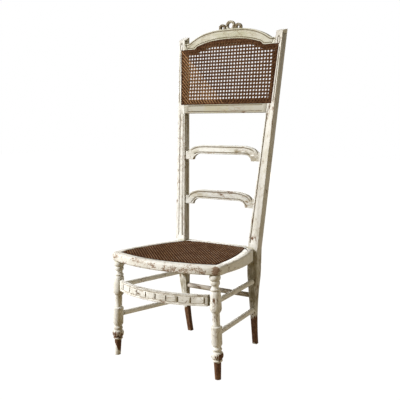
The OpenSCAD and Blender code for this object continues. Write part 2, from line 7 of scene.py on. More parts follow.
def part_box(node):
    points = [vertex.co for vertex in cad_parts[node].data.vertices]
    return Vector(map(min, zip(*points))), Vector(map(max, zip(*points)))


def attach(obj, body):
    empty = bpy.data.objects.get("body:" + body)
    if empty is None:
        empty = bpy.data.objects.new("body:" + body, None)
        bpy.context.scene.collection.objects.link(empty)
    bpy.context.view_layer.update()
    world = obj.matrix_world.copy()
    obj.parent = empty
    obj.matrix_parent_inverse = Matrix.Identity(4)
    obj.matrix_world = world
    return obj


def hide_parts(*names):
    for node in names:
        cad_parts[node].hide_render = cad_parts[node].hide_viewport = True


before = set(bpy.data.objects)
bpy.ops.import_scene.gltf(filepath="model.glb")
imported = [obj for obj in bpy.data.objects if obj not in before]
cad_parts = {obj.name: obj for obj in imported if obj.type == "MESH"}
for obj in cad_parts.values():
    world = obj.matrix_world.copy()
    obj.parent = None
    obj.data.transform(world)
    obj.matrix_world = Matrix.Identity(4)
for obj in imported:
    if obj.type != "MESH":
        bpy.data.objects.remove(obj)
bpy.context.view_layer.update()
scene = bpy.context.scene

# ---- Studio: camera, floor and light --------------------------------------------------------
# The chair is seen from its right front, looking down a little. The key lamp stands high at the
# left, so that faces turned to the chair's right fall into a warm shade, and weaker lamps behind
# and at the right lift that shade. The floor and the backdrop are shown white.
look_down, look_round = 6.59, 33.27
camera_data = bpy.data.cameras.new("camera")
camera_data.lens = 58.156
camera_data.sensor_width = 36
camera = bpy.data.objects.new("camera", camera_data)
camera.location = (1.3302, -2.0005, 0.8572)
camera.rotation_euler = (math.radians(90 - look_down), 0, math.radians(look_round))
scene.collection.objects.link(camera)
scene.camera = camera
scene.view_settings.view_transform = "Standard"


def add(tree, kind, inputs=None, **settings):
    """Adds a shader node, with its settings and with values or links for its inputs."""
    node = tree.nodes.new("ShaderNode" + kind)
    for name, value in settings.items():
        setattr(node, name, value)
    for name, value in (inputs or {}).items():
        if isinstance(value, bpy.types.NodeSocket):
            tree.links.new(value, node.inputs[name])
        else:
            node.inputs[name].default_value = value
    return node


def calc(tree, operation, a, b=0.0):
    """A Math node on one or two values."""
    return add(tree, "Math", {0: a, 1: b}, operation=operation).outputs[0]


def seen_white(tree):
    """One on the rays that show the background to the camera or in a gloss, else nought."""
    path = add(tree, "LightPath").outputs
    seen = calc(tree, "MAXIMUM", path["Is Camera Ray"], path["Is Glossy Ray"])
    return calc(tree, "MAXIMUM", seen, path["Is Transmission Ray"])


world = bpy.data.worlds.new("studio")
scene.world = world
world.use_nodes = True
tree = world.node_tree
tree.nodes.clear()
room = add(tree, "Background", {"Color": (1.0, 0.68, 0.24, 1), "Strength": 0.125})
backdrop = add(tree, "Background", {"Color": (1, 1, 1, 1), "Strength": 1.0})
sky = add(tree, "MixShader", {0: seen_white(tree), 1: room.outputs[0], 2: backdrop.outputs[0]})
add(tree, "OutputWorld", {0: sky.outputs[0]})


def lamp(name, place, aim, size, energy, colour):
    """A square area lamp at place that looks at aim."""
    data = bpy.data.lights.new(name, "AREA")
    data.size = size
    data.energy = energy
    data.color = colour
    light = bpy.data.objects.new(name, data)
    light.location = place
    light.rotation_euler = (Vector(aim) - Vector(place)).to_track_quat("-Z", "Y").to_euler()
    scene.collection.objects.link(light)


lamp("key", place=(-7.5, -7.4, 6.2), aim=(0, 0, 0.6), size=3.6, energy=2350, colour=(1, 0.995, 0.99))
lamp("back", place=(-3.0, 9.0, 1.6), aim=(0, 0, 0.6), size=3.0, energy=700, colour=(1, 0.98, 0.94))
lamp("side", place=(8.0, 0.2, 0.9), aim=(0, 0.2, 0.7), size=0.8, energy=150, colour=(1, 0.92, 0.76))

floor_mesh = bpy.data.meshes.new("floor")
bm = bmesh.new()
bmesh.ops.create_grid(bm, x_segments=1, y_segments=1, size=14)
bm.to_mesh(floor_mesh)
bm.free()
floor = bpy.data.objects.new("floor", floor_mesh)
scene.collection.objects.link(floor)
floor_paper = bpy.data.materials.new("white paper")
floor_paper.use_nodes = True
tree = floor_paper.node_tree
tree.nodes.clear()
# The part of the floor that doesn't glow to the camera shows the chair's shadow.
glow_share = 0.86
paper = add(tree, "BsdfDiffuse", {"Color": (0.26, 0.195, 0.09, 1)})
glow = add(tree, "Emission", {"Color": (1, 1, 1, 1), "Strength": 1.18})
shown = calc(tree, "MULTIPLY", seen_white(tree), glow_share)
paper_mix = add(tree, "MixShader", {0: shown, 1: paper.outputs[0], 2: glow.outputs[0]})
add(tree, "OutputMaterial", {0: paper_mix.outputs[0]})
floor_mesh.materials.append(floor_paper)

# ---- Back posts -----------------------------------------------------------------------------
# Each back leg and upright is one long piece, sawn from a plank with its kick and its lean. Fine
# grooves run up its front, and its top is a small cap over a cut oval. The cream paint is worn
# through at the edges, and gone from the foot.
X, Y, Z = 0, 1, 2
# A grain is a scale for each axis, and its figure is long where the scale is small.
GRAIN_UP = (1, 1, 0.25)
GRAIN_ACROSS = (0.3, 1, 1)
GRAIN_BACK = (1, 0.3, 1)


def new_group(name, ins, outs):
    """An empty shader node group, with its input and output sockets."""
    tree = bpy.data.node_groups.new(name, "ShaderNodeTree")
    for label, kind, value in ins:
        socket = tree.interface.new_socket(label, in_out="INPUT", socket_type="NodeSocket" + kind)
        socket.default_value = value
    for label, kind in outs:
        tree.interface.new_socket(label, in_out="OUTPUT", socket_type="NodeSocket" + kind)
    return tree, tree.nodes.new("NodeGroupInput").outputs, tree.nodes.new("NodeGroupOutput").inputs


def times(tree, a, b):
    """The product of two values."""
    return calc(tree, "MULTIPLY", a, b)


def total(tree, first, *others):
    """The sum of two or more values."""
    for value in others:
        first = calc(tree, "ADD", first, value)
    return first


def less(tree, a, b):
    """What is left of a without b."""
    return calc(tree, "SUBTRACT", a, b)


def step(tree, value, low, high):
    """Nought up to low and one from high on, with a soft step between, or one to nought if low
    is the higher."""
    return add(tree, "MapRange", {"Value": value, "From Min": low, "From Max": high},
               interpolation_type="SMOOTHSTEP").outputs[0]


def blend(tree, factor, a, b):
    """A colour that goes from a to b as factor goes from nought to one."""
    return add(tree, "Mix", {0: factor, 6: a, 7: b}, data_type="RGBA").outputs[2]


def cloud(tree, place, scale, detail):
    """Soft random values about a half."""
    return add(tree, "TexNoise", {
        "Vector": place, "Scale": scale, "Detail": detail, "Roughness": 0.62}).outputs[0]


# Worn edges: a mask of the rubbed edges, and a painted shade that darkens crevices and contact corners.
edge_wear_and_shade, ins, outs = new_group("worn edges and crevice shade", [("Radius", "Float", 0.003)],
                                 [("Mask", "Float"), ("Crevice Shade", "Float")])
tree = edge_wear_and_shade
edge_turn, crevice_shade = (0.02, 0.22), (0.12, 0.62)
rounded = add(tree, "Bevel", {"Radius": ins["Radius"]}, samples=6)
surface = add(tree, "NewGeometry")
turn = add(tree, "VectorMath", {0: rounded.outputs[0], 1: surface.outputs["Normal"]},
           operation="DOT_PRODUCT").outputs["Value"]
tree.links.new(step(tree, less(tree, 1.0, turn), *edge_turn), outs["Mask"])
# Painted shade: ambient occlusion finds the crevices, which the coat then darkens.
open_air = add(tree, "AmbientOcclusion", {"Distance": 0.014}, samples=6).outputs["AO"]
tree.links.new(step(tree, less(tree, 1.0, open_air), *crevice_shade), outs["Crevice Shade"])

old_paint, ins, outs = new_group("old paint", [
    ("Worn", "Float", 0.0), ("Chips", "Float", 0.2), ("Edge Chips", "Float", 1.0),
    ("Grime", "Float", 0.3), ("Grain", "Vector", (1, 1, 1)), ("Crevice Shade", "Float", 0.0),
    ("Groove", "Float", 0.0), ("Spot", "Float", 0.0), ("Stain", "Float", 0.0), ("Kept", "Float", 0.0),
    ("Bare Below", "Float", -1.0), ("Bare Above", "Float", 9.0), ("Ragged", "Float", 0.03),
    ("Paint", "Color", (0.755, 0.76, 0.735, 1)), ("Dirt", "Color", (0.38, 0.355, 0.24, 1)),
    ("Under", "Color", (0.28, 0.20, 0.135, 1)), ("Wood", "Color", (0.075, 0.033, 0.018, 1)),
    ("Bare Grain", "Color", (0.22, 0.12, 0.06, 1)), ("Stain Colour", "Color", (0.2, 0.17, 0.09, 1)),
    ("Groove Dirt", "Color", (0.15, 0.12, 0.07, 1)),
], [("Color", "Color"), ("Roughness", "Float"), ("Height", "Float")])
tree = old_paint

# The chips: random patches that edges, spots and bare tops make more likely.
gone_from, thin_from = (0.725, 0.74), (0.68, 0.735)
fine_share, broad_share, crumb_share = 0.55, 0.45, 0.12
edge_share, chip_share, spot_share, above_share = 0.16, 0.25, 0.085, 0.10
above_line = (-0.001, 0.002)
place = add(tree, "TexCoord").outputs["Object"]
along = add(tree, "VectorMath", {0: place, 1: ins["Grain"]}, operation="MULTIPLY").outputs[0]
fine = cloud(tree, along, 140, 5)
broad = cloud(tree, along, 24, 3)
crumbs = cloud(tree, place, 480, 2)
score = total(tree, times(tree, fine, fine_share), times(tree, broad, broad_share),
              times(tree, crumbs, crumb_share))
edge_help = times(tree, times(tree, ins["Worn"], ins["Edge Chips"]), edge_share)
score = total(tree, score, total(tree, edge_help, times(tree, ins["Chips"], chip_share)))
height_up = add(tree, "SeparateXYZ", {0: place}).outputs["Z"]
above = step(tree, less(tree, height_up, ins["Bare Above"]), *above_line)
spot_help = total(tree, times(tree, ins["Spot"], spot_share), times(tree, above, above_share))
score = total(tree, score, spot_help)

# The foot: bare below a ragged line, apart from patches that kept their paint.
foot_line, kept_from = (-0.001, 0.001), (0.35, 0.45)
tear = total(tree, less(tree, fine, 0.5), less(tree, broad, 0.5))
level = total(tree, height_up, times(tree, tear, ins["Ragged"]))
kept = step(tree, total(tree, ins["Kept"], less(tree, fine, 0.5)), *kept_from)
foot = step(tree, less(tree, ins["Bare Below"], level), *foot_line)
foot = times(tree, foot, less(tree, 1.0, kept))
gone = calc(tree, "MAXIMUM", step(tree, score, *gone_from), foot)
thin = calc(tree, "MAXIMUM", step(tree, score, *thin_from), foot)

# The crackle: lines between wavering cells, in some zones of the coat.
waver_by, crack_width, crack_zones = 0.02, 0.06, (0.44, 0.62)
waver = add(tree, "TexNoise", {"Vector": along, "Scale": 45.0, "Detail": 2.0}).outputs["Color"]
waver = add(tree, "VectorMath", {0: waver, "Scale": waver_by}, operation="SCALE").outputs[0]
bent = add(tree, "VectorMath", {0: along, 1: waver}, operation="ADD").outputs[0]
cells = add(tree, "TexVoronoi", {"Vector": bent, "Scale": 85.0}, feature="DISTANCE_TO_EDGE").outputs[0]
crack_zone = step(tree, cloud(tree, place, 16, 2), *crack_zones)
crack = times(tree, less(tree, 1.0, step(tree, cells, 0.0, crack_width)), crack_zone)

# The colours: each layer of dirt, wear and painted shade is laid over the paint, and bare wood comes last.
zone_share, streak_share, stain_share, groove_share = 0.75, 0.35, 0.85, 0.85
hair_share, crack_share, thin_share, figure_share = 0.5, 0.72, 0.8, 0.7
streak = step(tree, cloud(tree, along, 70, 4), 0.42, 0.75)
dirt_zone = step(tree, cloud(tree, place, 13, 3), 0.48, 0.66)
dirt_and_crevice_shade = total(tree, times(tree, dirt_zone, zone_share), times(tree, streak, streak_share))
# The crevice mask is painted shade; here it joins the dirt mask and darkens the coat in the dirt colour.
dirt_and_crevice_shade = calc(tree, "MAXIMUM", times(tree, dirt_and_crevice_shade, ins["Grime"]), ins["Crevice Shade"])
stained = times(tree, times(tree, ins["Stain"], stain_share), step(tree, fine, 0.35, 0.6))
hairs = step(tree, cloud(tree, along, 260, 3), 0.56, 0.7)
figure = step(tree, cloud(tree, along, 230, 3), 0.35, 0.68)
coat = ins["Paint"]
# Carved groove faces take the groove colour, which is dirt in the grooves and painted shade there too.
for mask, colour in ((dirt_and_crevice_shade, "Dirt"), (stained, "Stain Colour"),
                     (times(tree, ins["Groove"], groove_share), "Groove Dirt"),
                     (times(tree, hairs, hair_share), "Dirt"),
                     (times(tree, crack, crack_share), "Under"),
                     (times(tree, thin, thin_share), "Under")):
    coat = blend(tree, mask, coat, ins[colour])
bared = blend(tree, times(tree, figure, figure_share), ins["Wood"], ins["Bare Grain"])
tree.links.new(blend(tree, gone, coat, bared), outs["Color"])

# The surface: bare wood is rougher than paint, and every loss lies a little deeper.
paint_rough, bare_rougher = 0.65, 0.2
fine_rise, thin_drop, gone_drop, crack_drop = 0.35, 0.5, 0.5, 0.4
tree.links.new(total(tree, times(tree, gone, bare_rougher), paint_rough), outs["Roughness"])
relief = less(tree, times(tree, fine, fine_rise), times(tree, thin, thin_drop))
relief = less(tree, relief, times(tree, gone, gone_drop))
tree.links.new(less(tree, relief, times(tree, crack, crack_drop)), outs["Height"])

COLOUR_INPUTS = ("paint", "dirt", "under", "wood", "bare_grain", "stain_colour", "groove_dirt")
spot_core = 0.3


def near(tree, spots):
    """The sum over the spots, each a place and a reach, of one in its core and nought beyond."""
    place = add(tree, "TexCoord").outputs["Object"]
    mask = 0.0
    for *middle, reach in spots:
        away = add(tree, "VectorMath", {0: place, 1: middle}, operation="DISTANCE").outputs["Value"]
        mask = total(tree, mask, step(tree, calc(tree, "DIVIDE", away, reach), 1.0, spot_core))
    return mask


def painted(name, edge_radius=0.003, spots=(), stains=(), kept=(), **values):
    """Old cream paint over dark wood, with its own amounts of chips, grime and bare foot, and painted
    shade in crevices and grooves.
    """
    material = bpy.data.materials.new(name)
    material.use_nodes = True
    tree = material.node_tree
    shader = tree.nodes["Principled BSDF"]
    shader.inputs["Specular IOR Level"].default_value = 0.15
    wear = add(tree, "Group", node_tree=edge_wear_and_shade)
    wear.inputs["Radius"].default_value = edge_radius
    # The groove mask marks carved groove faces, which are darkened with dirt and painted shade.
    groove = add(tree, "Attribute", attribute_name="groove")
    coat = add(tree, "Group", node_tree=old_paint)
    # The crevice mask that goes into the coat is painted shade.
    tree.links.new(wear.outputs["Mask"], coat.inputs["Worn"])
    tree.links.new(wear.outputs["Crevice Shade"], coat.inputs["Crevice Shade"])
    tree.links.new(groove.outputs["Fac"], coat.inputs["Groove"])
    for label, places in (("Spot", spots), ("Stain", stains), ("Kept", kept)):
        if places:
            tree.links.new(near(tree, places), coat.inputs[label])
    for label, value in values.items():
        value = (*value, 1) if label in COLOUR_INPUTS else value
        coat.inputs[label.replace("_", " ").title()].default_value = value
    bump = add(tree, "Bump", {"Height": coat.outputs["Height"], "Strength": 0.7, "Distance": 0.0008})
    tree.links.new(coat.outputs["Color"], shader.inputs["Base Color"])
    tree.links.new(coat.outputs["Roughness"], shader.inputs["Roughness"])
    tree.links.new(bump.outputs["Normal"], shader.inputs["Normal"])
    return material


def blank(node):
    """The merged mesh of a CAD node, with each flat side as one face."""
    bm = bmesh.new()
    bm.from_mesh(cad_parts[node].data)
    bmesh.ops.remove_doubles(bm, verts=bm.verts, dist=0.00002)
    bmesh.ops.dissolve_limit(bm, angle_limit=math.radians(0.5), verts=bm.verts, edges=bm.edges)
    return bm


def cut_box(node, axis, value):
    """Lowest and highest corner of the cut through a CAD node, square to an axis."""
    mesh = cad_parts[node].data
    hits = []
    for edge in mesh.edges:
        a, b = (mesh.vertices[i].co for i in edge.vertices)
        if (a[axis] - value) * (b[axis] - value) <= 0 and a[axis] != b[axis]:
            hits.append(a.lerp(b, (value - a[axis]) / (b[axis] - a[axis])))
    return [Vector([pick(h[i] for h in hits) for i in range(3)]) for pick in (min, max)]


def soften(bm, width, segments, chosen, least=30):
    """Rounds the outer edges that turn by at least so many degrees and that chosen(edge) picks."""
    edges = [e for e in bm.edges
             if e.is_manifold and e.calc_face_angle_signed() > math.radians(least) and chosen(e)]
    bmesh.ops.bevel(bm, geom=edges, offset=width, segments=segments, profile=0.5,
                    affect="EDGES", clamp_overlap=False, material=-1)


def finish(bm, name, node, material):
    """Makes the mesh a piece that stands for a CAD node, smooth except at its sharp edges."""
    mesh = bpy.data.meshes.new(name)
    bm.to_mesh(mesh)
    bm.free()
    mesh.shade_smooth()
    mesh.set_sharp_from_angle(angle=math.radians(34))
    mesh.materials.append(material)
    piece = bpy.data.objects.new(name, mesh)
    scene.collection.objects.link(piece)
    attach(piece, "root")
    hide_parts(node)


def rope(points, radius, ring=False):
    """A round bar along points, or round through them as a ring, as a mesh to cut with."""
    curve = bpy.data.curves.new("bar", "CURVE")
    curve.dimensions = "3D"
    curve.bevel_depth = radius
    curve.bevel_resolution = 2
    curve.use_fill_caps = True
    spline = curve.splines.new("POLY")
    spline.points.add(len(points) - 1)
    spline.use_cyclic_u = ring
    for point, co in zip(spline.points, points):
        point.co = (*co, 1)
    holder = bpy.data.objects.new("bar", curve)
    scene.collection.objects.link(holder)
    mesh = bpy.data.meshes.new_from_object(holder.evaluated_get(bpy.context.evaluated_depsgraph_get()))
    bpy.data.objects.remove(holder)
    return mesh


def carve(bm, bars):
    """Cuts the bars out of the mesh, and marks the faces they leave as groove."""
    cutter_bm = bmesh.new()
    for bar in bars:
        cutter_bm.from_mesh(bar)
    bmesh.ops.recalc_face_normals(cutter_bm, faces=cutter_bm.faces)
    cutter_mesh = bpy.data.meshes.new("cutter")
    cutter_bm.to_mesh(cutter_mesh)
    cutter_bm.free()
    block_mesh = bpy.data.meshes.new("block")
    bm.to_mesh(block_mesh)
    bm.free()
    for mesh in (block_mesh, cutter_mesh):
        mesh.materials.append(None)
        mesh.materials.append(None)
    for polygon in cutter_mesh.polygons:
        polygon.material_index = 1
    cutter = bpy.data.objects.new("cutter", cutter_mesh)
    block = bpy.data.objects.new("block", block_mesh)
    scene.collection.objects.link(cutter)
    scene.collection.objects.link(block)
    cut = block.modifiers.new("cut", "BOOLEAN")
    cut.object = cutter
    cut.operation = "DIFFERENCE"
    cut.solver = "EXACT"
    cut.use_self = True
    result = bmesh.new()
    bpy.context.view_layer.update()
    shape = block.evaluated_get(bpy.context.evaluated_depsgraph_get()).to_mesh()
    result.from_mesh(shape)
    groove = result.faces.layers.float.new("groove")
    for face in result.faces:
        face[groove] = face.material_index
        face.material_index = 0
    bpy.data.objects.remove(block)
    bpy.data.objects.remove(cutter)
    return result


groove_radius, groove_depth, groove_runout, radii_clear = 0.0022, 0.0013, 0.006, 3


def groove_bar(points, radius=groove_radius, depth=groove_depth):
    """A bar that cuts a groove into a front face: it follows points and lifts off at its ends."""
    lift = Vector((0, -(radius - depth), 0))
    clear = Vector((0, -radii_clear * radius, 0))
    ends = [points[0] + (points[0] - points[1]).normalized() * groove_runout,
            points[-1] + (points[-1] - points[-2]).normalized() * groove_runout]
    path = [ends[0] + clear] + [p + lift for p in points] + [ends[1] + clear]
    return rope(path, radius)


least_rise, face_margin = 0.01, 0.0004


def corner_edge(edge, node, low, high):
    """True on the four long outer corners of a post between two heights."""
    middle = (edge.verts[0].co + edge.verts[1].co) / 2
    if abs(edge.verts[0].co.z - edge.verts[1].co.z) < least_rise or not low < middle.z < high:
        return False
    box_low, box_high = cut_box(node, Z, middle.z)
    return all(min(abs(middle[i] - box_low[i]), abs(middle[i] - box_high[i])) < face_margin
               for i in (X, Y))


# Spots, stains and kept patches are a place each, and its reach.
post_wear = {
    "chips": 0.17, "edge_chips": 1.15, "grime": 0.45, "grain": GRAIN_UP,
    "bare_below": 0.118, "ragged": 0.11,
    "spots": [(-0.197, 0.14, 0.55, 0.022), (-0.195, 0.135, 0.51, 0.024), (-0.193, 0.13, 0.47, 0.022),
              (-0.20, 0.15, 0.68, 0.02), (0.168, 0.14, 0.44, 0.026), (0.172, 0.145, 0.49, 0.026),
              (0.19, 0.16, 0.72, 0.02)],
    "stains": [(0.17, 0.15, 0.34, 0.06), (0.167, 0.155, 0.27, 0.055), (0.162, 0.165, 0.20, 0.06),
               (-0.17, 0.15, 0.33, 0.06), (-0.165, 0.155, 0.27, 0.055), (-0.16, 0.165, 0.20, 0.05)],
    "kept": [(-0.1545, 0.19, 0.0, 0.012), (0.1545, 0.19, 0.0, 0.016)]}
# The right post's paint is darker than the left's, a painted shade on the same real paint.
post_paints = {-1: painted("left post paint", **post_wear),
               1: painted("right post paint darkened for shade", paint=(0.61, 0.605, 0.572), **post_wear)}

# In these pairs, -1 is the left post and 1 the right.
cap_rise = {-1: 0.006, 1: 0.013}
post_groove = {-1: (groove_radius, groove_depth), 1: (0.0028, 0.0018)}
groove_shares = {-1: (0.36, 0.80), 1: (0.80,)}
seat_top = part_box("seat_rail_front")[1].z
panel_rail_low, panel_rail_high = (corner.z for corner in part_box("panel_rail"))
lower_stop, leg_round, corner_round = 0.33, 0.004, 0.0022
cap_height, cap_depth, cap_lean = 0.025, 0.02, 0.11
groove_ends = (seat_top + 0.022, panel_rail_low - 0.003)
edge_groove, edge_groove_in = (0.0018, 0.0012), 0.0075
edge_groove_ends = (panel_rail_high - 0.006, panel_rail_high + 0.19)
cap_groove_radius, cap_groove_drop, overrun = 0.0015, 0.020, 0.01
oval_groove_radius, oval_points = 0.0017, 24
oval_drop, oval_half_width, oval_half_height, oval_clear = 0.044, 0.0055, 0.015, 0.0006
lean_drop = 0.03
for side, name in ((-1, "back_post_left"), (1, "back_post_right")):
    bm = blank(name)
    post_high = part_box(name)[1]
    front_top = [v for v in bm.verts
                 if v.co.z > post_high.z - cap_height and v.co.y < post_high.y - cap_depth]
    bmesh.ops.translate(bm, verts=front_top, vec=(0, cap_rise[side] * cap_lean, cap_rise[side]))
    bmesh.ops.bisect_plane(bm, geom=bm.verts[:] + bm.edges[:] + bm.faces[:],
                           plane_co=(0, 0, lower_stop), plane_no=(0, 0, 1))
    soften(bm, leg_round, 3, lambda e: corner_edge(e, name, 0, lower_stop))
    soften(bm, corner_round, 2, lambda e: corner_edge(e, name, lower_stop, math.inf))
    bars = []
    for share in groove_shares[side]:
        points = []
        for z in groove_ends:
            box_low, box_high = cut_box(name, Z, z)
            inner, outer = (box_low.x, box_high.x) if side > 0 else (box_high.x, box_low.x)
            points.append(Vector((inner + (outer - inner) * (1 - share), box_low.y, z)))
        bars.append(groove_bar(points, *post_groove[side]))
    points = []
    for z in edge_groove_ends:
        box_low, box_high = cut_box(name, Z, z)
        outer = box_high.x if side > 0 else box_low.x
        points.append(Vector((outer - side * edge_groove_in, box_low.y, z)))
    bars.append(groove_bar(points, *edge_groove))
    low, high = cut_box(name, Z, post_high.z - cap_groove_drop)
    across = [Vector((x, low.y, low.z)) for x in (low.x - overrun, high.x + overrun)]
    bars.append(rope(across, cap_groove_radius))
    for x in (low.x, high.x):
        back = [Vector((x, y, low.z)) for y in (low.y - overrun, high.y + overrun)]
        bars.append(rope(back, cap_groove_radius))
    low, high = cut_box(name, Z, post_high.z - oval_drop)
    lean = (cut_box(name, Z, post_high.z - lean_drop)[0].y - low.y) / (oval_drop - lean_drop)
    oval = []
    for i in range(oval_points):
        turn = math.tau * i / oval_points
        rise = oval_half_height * math.sin(turn)
        oval.append(Vector(((low.x + high.x) / 2 + oval_half_width * math.cos(turn),
                            low.y + lean * rise - oval_clear, low.z + rise)))
    bars.append(rope(oval, oval_groove_radius, ring=True))
    bm = carve(bm, bars)
    finish(bm, name + "_wood", name, post_paints[side])

# ---- Crest rail -----------------------------------------------------------------------------
# One board, sawn to an arch between two square ears and carved with a ribbon bow on top. A groove
# runs along its upper edge and another along its lower one. It is tenoned into the posts, and
# the bow has lost most of its paint.
beside_bow = 0.07
bow_foot = cut_box("crest_rail", X, beside_bow)[1].z
bare_from = bow_foot + 0.0015
crest_paint = painted("crest paint", paint=(0.53, 0.525, 0.455), chips=0.1, edge_chips=0.9, grime=0.7,
                      grain=GRAIN_ACROSS, bare_above=bare_from, wood=(0.10, 0.068, 0.036),
                      bare_grain=(0.32, 0.26, 0.17), under=(0.26, 0.21, 0.14),
                      stain_colour=(0.40, 0.40, 0.29),
                      stains=[(0.05, 0.24, 1.2, 0.09), (-0.04, 0.24, 1.2, 0.05)])
upright_low, upright_high = 0.5, 1.1
front_low, front_high = (cut_box("back_post_left", Z, z)[0].y for z in (upright_low, upright_high))


def front_y(z):
    """Where the leaning front of the posts, crest and panel rail lies at height z."""
    return front_low + (front_high - front_low) * (z - upright_low) / (upright_high - upright_low)


def inset_path(points, inset):
    """A line in a front face, drawn in to the right of its way by inset."""
    moved = []
    for i, point in enumerate(points):
        before, after = points[max(i - 1, 0)], points[min(i + 1, len(points) - 1)]
        way = (after - before).normalized()
        x, z = point.x + way.z * inset, point.z - way.x * inset
        moved.append(Vector((x, front_y(z), z)))
    return moved


def from_half(half):
    """The whole of a line that is the same left and right, from its right half."""
    return [Vector((-p.x, p.y, p.z)) for p in reversed(half)] + half


ear_x = 0.195
ear_top = cut_box("crest_rail", X, ear_x)[1].z
arch_half, arch_rise, arch_power = 0.187, 0.046, 3


def crest_top(x):
    """Height of the crest's upper edge, without the bow."""
    return ear_top + arch_rise * max(0, 1 - (abs(x) / arch_half) ** arch_power)


crest_half, crest_steps, crest_ledge = 0.206, 24, 0.020
crest_round, shoulder_x = 0.0018, 0.21
moulding_in = 0.0068
lower_moulding_in = moulding_in - 0.001
crest_xs = [crest_half * i / crest_steps for i in range(1, crest_steps + 1)]
upper_edge = from_half([Vector((x, 0, crest_top(x))) for x in crest_xs])
lower_edge = from_half([Vector((x, 0, cut_box("crest_rail", X, x)[0].z + crest_ledge))
                        for x in crest_xs])
bm = blank("crest_rail")
soften(bm, crest_round, 2, lambda e: abs(e.verts[0].co.x) < shoulder_x, least=40)
bars = [groove_bar(inset_path(upper_edge, moulding_in)),
        groove_bar(inset_path(list(reversed(lower_edge)), lower_moulding_in))]

# The ribbon's folds are short slanting notches round each of the bow's three loops.
bow_loops = ((0, 0.0136, 0.020), (-0.036, 0.0068, 0.015), (0.036, 0.0068, 0.015))
bow_middle, notch_low = bow_foot + 0.015, bow_foot + 0.004
notches, notch_shift, notch_skew = 14, 0.25, 0.003
notch_in, notch_out, notch_radius = 0.008, 0.001, 0.0011
bow_front = cut_box("crest_rail", Z, bow_middle)[0].y
for x, rise, radius in bow_loops:
    middle = Vector((x, bow_front, bow_foot + rise))
    for i in range(notches):
        turn = math.tau * (i + notch_shift) / notches
        out = Vector((math.cos(turn), 0, math.sin(turn)))
        if middle.z + out.z * radius > notch_low:
            skew = Vector((-out.z, 0, out.x)) * notch_skew
            bars.append(rope([middle + out * (radius - notch_in) - skew,
                              middle + out * (radius + notch_out) + skew], notch_radius))
bm = carve(bm, bars)
finish(bm, "crest", "crest_rail", crest_paint)

# ---- Panel rail and slats -------------------------------------------------------------------
# The panel rail closes the caned panel below. The two slats are sawn to a flat arch with round
# shoulders. All three have a groove along both of their edges and are tenoned into the posts.
rail_paint = painted("rail paint", paint=(0.395, 0.385, 0.335), chips=0.14, edge_chips=0.9, grime=0.8,
                     grain=GRAIN_ACROSS)
rail_round, rail_groove_half, rail_groove_in, ledge_above = 0.0022, 0.168, 0.007, 0.015
bm = blank("panel_rail")
soften(bm, rail_round, 2, lambda e: True, least=40)
bars = []
for z in (panel_rail_low + rail_groove_in, panel_rail_high - ledge_above - rail_groove_in):
    bars.append(groove_bar([Vector((x, front_y(z), z)) for x in (-rail_groove_half, rail_groove_half)]))
bm = carve(bm, bars)
finish(bm, "panel_rail_wood", "panel_rail", rail_paint)

slat_paint = painted("slat paint", paint=(0.665, 0.67, 0.64), chips=0.2, edge_chips=1.1, grime=0.55,
                     grain=GRAIN_ACROSS, stain_colour=(0.25, 0.21, 0.14),
                     stains=[(0.066, 0.1785, 0.757, 0.015), (0.080, 0.1785, 0.754, 0.015),
                             (0.070, 0.1785, 0.757, 0.013), (0.11, 0.1785, 0.745, 0.02),
                             (0.145, 0.1785, 0.735, 0.035)])
worn_slat_paint = painted("worn slat paint", paint=(0.575, 0.58, 0.56), chips=0.24, edge_chips=1.1,
                          grime=0.8, grain=GRAIN_ACROSS, stain_colour=(0.34, 0.31, 0.23),
                          stains=[(0.135, 0.1573, 0.57, 0.035), (-0.10, 0.1573, 0.58, 0.045)])
slat_round, slat_round_half, slat_set_back = 0.0022, 0.12, Vector((0, 0.005, 0))
slat_half, slat_steps, slat_under_half = 0.146, 20, 0.125
for node, material in (("slat_upper", slat_paint), ("slat_lower", worn_slat_paint)):
    bm = blank(node)
    soften(bm, slat_round, 2, lambda e: max(abs(v.co.x) for v in e.verts) < slat_round_half, least=40)
    xs = [slat_half * i / slat_steps for i in range(1, slat_steps + 1)]
    cuts = [cut_box(node, X, x) for x in xs]
    top = from_half([Vector((x, 0, cut[1].z)) for x, cut in zip(xs, cuts)])
    under = from_half([Vector((x, 0, cut[0].z)) for x, cut in zip(xs, cuts) if x < slat_under_half])
    bars = [groove_bar([p + slat_set_back for p in inset_path(top, moulding_in)]),
            groove_bar([p + slat_set_back for p in inset_path(list(reversed(under)), moulding_in)])]
    bm = carve(bm, bars)
    finish(bm, node + "_wood", node, material)

# ---- Seat frame -----------------------------------------------------------------------------
# Four wooden rails round the cane, tenoned together and into the posts. The front rail bows
# forward between the two legs, and its edges are rounded over and worn down to the wood, most of
# all at the right front corner.
seat_paint = painted("seat paint", edge_radius=0.006, chips=0.27, edge_chips=0.8, grime=0.3,
                     grain=(1.3, 1.3, 2.2), under=(0.57, 0.48, 0.385), wood=(0.19, 0.12, 0.08),
                     bare_grain=(0.40, 0.305, 0.225),
                     spots=[(0.228, -0.222, 0.376, 0.024), (0.216, -0.228, 0.366, 0.018),
                            (0.225, -0.22, 0.382, 0.02), (0.222, -0.222, 0.388, 0.015),
                            (0.228, -0.222, 0.366, 0.018), (0.17, -0.243, 0.361, 0.032),
                            (0.12, -0.252, 0.361, 0.042), (0.06, -0.258, 0.361, 0.044),
                            (-0.01, -0.262, 0.361, 0.045), (-0.08, -0.258, 0.361, 0.045),
                            (-0.15, -0.25, 0.364, 0.04), (0.14, -0.24, 0.392, 0.03),
                            (-0.2, -0.235, 0.388, 0.03), (-0.235, -0.21, 0.374, 0.025)])
side_paint = painted("side rail paint", chips=0.1, edge_chips=0.8, grime=0.45, grain=GRAIN_BACK)
flat_from, upright_to, square_from, joint_front_of = 0.9, 0.2, 0.9999, 0.1


